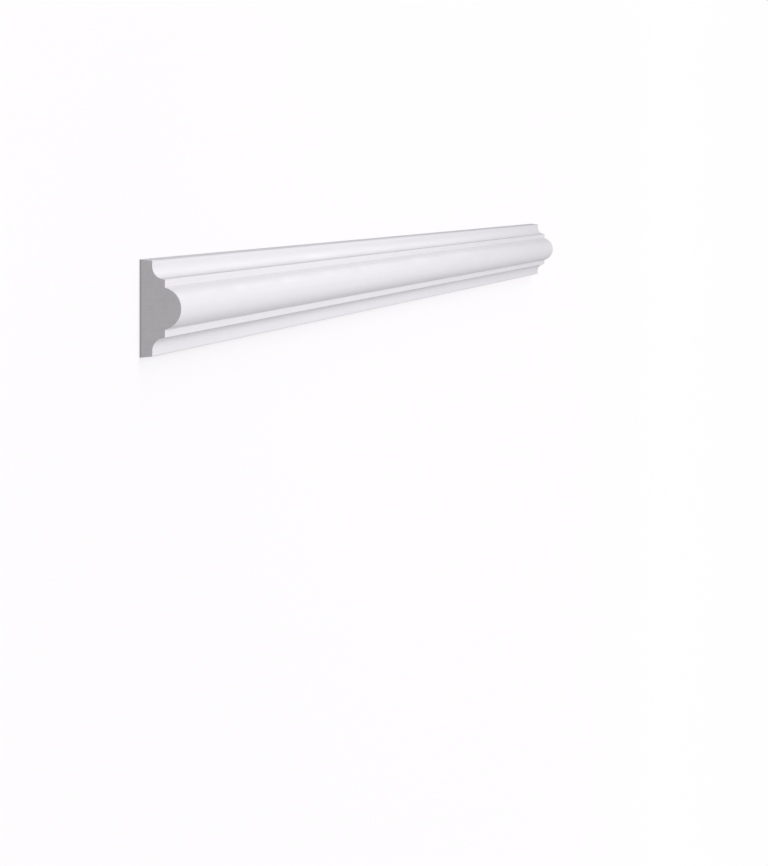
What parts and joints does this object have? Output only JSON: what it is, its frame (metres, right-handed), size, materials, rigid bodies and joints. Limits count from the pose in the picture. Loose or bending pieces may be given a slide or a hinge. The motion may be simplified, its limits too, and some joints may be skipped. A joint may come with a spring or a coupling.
{
  "type": "panel moulding",
  "caption": "Straight length of white primed wall panel moulding with a flat back and a symmetrical section: thin lips, coves, flat steps and a raised round bead.",
  "frame": {"origin": "middle of the flat back, halfway along the length", "axes": "+X along the length, +Y across the width, +Z out of the wall side towards the crown of the bead"},
  "size_m": [2, 0.042, 0.018],
  "materials": {
    "primed_foam": "rigid foam with a smooth matt white primer on the faces and bare grey sawn ends"
  },
  "bodies": {
    "root": {"panel_moulding": "primed_foam"}
  },
  "joints": []
}
